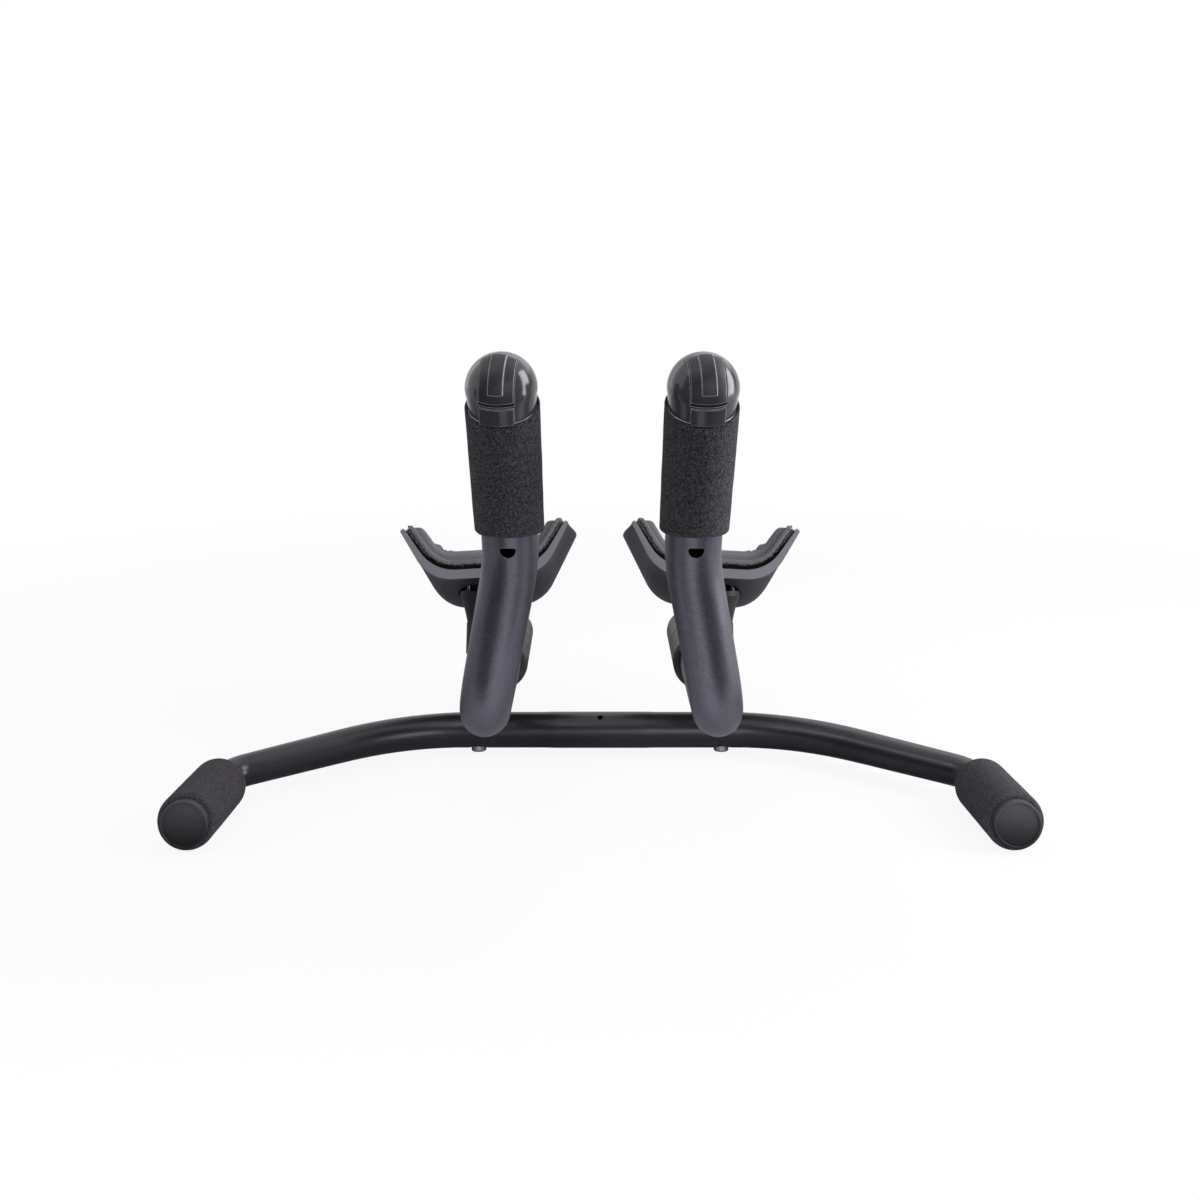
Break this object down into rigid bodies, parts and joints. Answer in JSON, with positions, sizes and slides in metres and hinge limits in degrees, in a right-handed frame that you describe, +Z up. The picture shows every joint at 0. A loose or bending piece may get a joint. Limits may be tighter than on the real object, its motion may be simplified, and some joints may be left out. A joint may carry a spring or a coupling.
{
  "type": "aero handlebar with extensions",
  "caption": "Time trial handlebar: a curved base bar with foam grips, upturned extension tubes with domed shift buttons, and padded arm cups on posts.",
  "frame": {"origin": "middle of the base bar's axis, where a stem clamps it", "axes": "+X along the bar to the rider's left, -Y forwards, +Z up"},
  "size_m": [0.5006, 0.4289, 0.2789],
  "materials": {
    "bar_black": "semi-gloss black",
    "foam_black": "matt foam",
    "plug_black": "matt moulded",
    "pod_black": "satin black",
    "steel": "bare turned steel",
    "extension_grey": "satin blue-grey anodised",
    "switch_gloss": "gloss moulded",
    "button_black": "satin moulded",
    "contact_black": "matt moulded",
    "board_green": "solder resist",
    "cup_grey": "satin moulded",
    "hook_black": "hook and loop",
    "pad_grey": "cloth-faced foam"
  },
  "bodies": {
    "frame": {"base_bar": "bar_black", "left_bar_grip": "foam_black", "right_bar_grip": "foam_black", "left_extension_grip": "foam_black", "right_extension_grip": "foam_black", "left_bar_plug": "plug_black", "right_bar_plug": "plug_black", "left_extension_cap": "plug_black", "right_extension_cap": "plug_black", "left_post": "pod_black", "right_post": "pod_black", "left_clamp": "pod_black", "right_clamp": "pod_black", "left_cup_neck": "pod_black", "right_cup_neck": "pod_black", "post_screws": "steel", "clamp_screws": "steel", "neck_screws": "steel", "cup_screws": "steel", "left_extension": "extension_grey", "right_extension": "extension_grey", "left_switch_body": "switch_gloss", "right_switch_body": "switch_gloss", "left_tact_switch": "contact_black", "right_tact_switch": "contact_black", "left_circuit_board": "board_green", "right_circuit_board": "board_green", "left_arm_cup": "cup_grey", "right_arm_cup": "cup_grey", "left_hook_layer": "hook_black", "right_hook_layer": "hook_black", "left_arm_pad": "pad_grey", "right_arm_pad": "pad_grey"},
    "left_button": {"left_shift_button": "button_black", "left_switch_plunger": "button_black"},
    "right_button": {"right_shift_button": "button_black", "right_switch_plunger": "button_black"}
  },
  "joints": [
    {"name": "left_button_press", "type": "slide", "parent": "frame", "child": "left_button", "axis": [0, 0.4787, -0.878], "range_m": [0, 0.0008], "stiffness_N_per_m": 3500},
    {"name": "right_button_press", "type": "slide", "parent": "frame", "child": "right_button", "axis": [0, 0.4787, -0.878], "range_m": [0, 0.0008], "stiffness_N_per_m": 3500}
  ]
}
